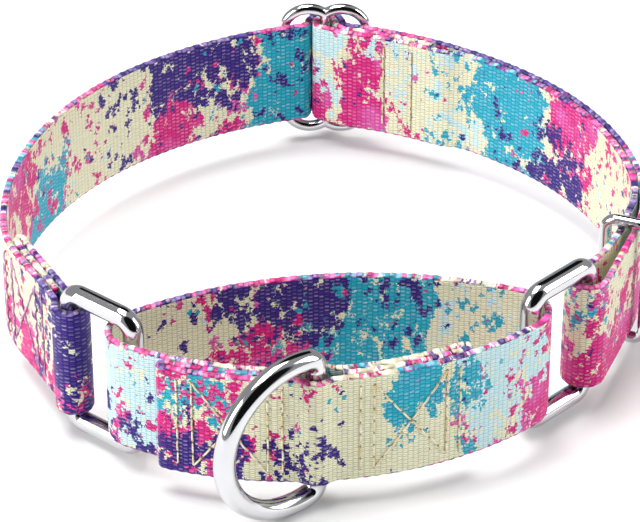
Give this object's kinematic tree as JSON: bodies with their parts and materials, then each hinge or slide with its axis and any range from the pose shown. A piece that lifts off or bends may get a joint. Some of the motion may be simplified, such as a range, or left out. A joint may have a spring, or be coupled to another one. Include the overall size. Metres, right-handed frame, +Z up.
{
  "type": "martingale collar",
  "caption": "Printed webbing dog collar with a sewn control loop, two rectangular rings, a leash D-ring, an adjuster slide and a keeper, standing on its edge.",
  "frame": {"origin": "middle of the collar's bounding box in plan, at the table under the leash ring's lowest point", "axes": "+X to the collar's right with the leash ring in front, +Y from the leash ring towards the adjuster, +Z up across the webbing's width"},
  "size_m": [0.1345, 0.1544, 0.0376],
  "materials": {
    "neck_webbing": "woven nylon with a printed paint-splatter pattern",
    "control_webbing": "woven nylon with a printed paint-splatter pattern",
    "ring_chrome": "polished plated steel wire",
    "thread": "bonded polyester sewing thread"
  },
  "bodies": {
    "neck_strap": {"neck_webbing": "neck_webbing", "ring_end_needle_thread": "thread", "ring_end_bobbin_thread": "thread", "adjuster_end_needle_thread": "thread", "adjuster_end_bobbin_thread": "thread"},
    "control_loop": {"control_webbing": "control_webbing", "left_box_needle_thread": "thread", "left_box_bobbin_thread": "thread", "right_box_needle_thread": "thread", "right_box_bobbin_thread": "thread"},
    "left_ring": {"left_ring": "ring_chrome"},
    "right_ring": {"right_ring": "ring_chrome"},
    "d_ring": {"d_ring": "ring_chrome"},
    "keeper": {"keeper": "ring_chrome"},
    "adjuster_slide": {"adjuster_slide": "ring_chrome"}
  },
  "joints": [
    {"name": "loop_pull", "type": "slide", "parent": "neck_strap", "child": "control_loop", "axis": [0, 1, 0], "range_m": [0, 0.01]},
    {"name": "left_ring_swing", "type": "hinge", "parent": "neck_strap", "child": "left_ring", "pos_m": [-0.05061, -0.03862, 0.0188], "axis": [0, 0, 1], "range_deg": [0, 39]},
    {"name": "right_ring_swing", "type": "hinge", "parent": "neck_strap", "child": "right_ring", "pos_m": [0.05229, -0.02912, 0.0188], "axis": [0, 0, 1], "range_deg": [-39, 0]},
    {"name": "leash_ring_swing", "type": "hinge", "parent": "control_loop", "child": "d_ring", "pos_m": [-0.00191, -0.06175, 0.0188], "axis": [0, 0, 1], "range_deg": [-18, 129]},
    {"name": "keeper_travel", "type": "hinge", "parent": "neck_strap", "child": "keeper", "pos_m": [0.01956, 0.00416, 0.0188], "axis": [0, 0, 1], "range_deg": [-1, 30]},
    {"name": "adjuster_tilt", "type": "hinge", "parent": "neck_strap", "child": "adjuster_slide", "pos_m": [-0.00001, 0.07254, 0.0188], "axis": [0, 0, 1], "range_deg": [-1.5, 1.5]}
  ],
  "couplings": [
    {"joint": "left_ring_swing", "follows": "loop_pull", "rad_per_m": 67.2},
    {"joint": "right_ring_swing", "follows": "loop_pull", "rad_per_m": -67.2}
  ]
}
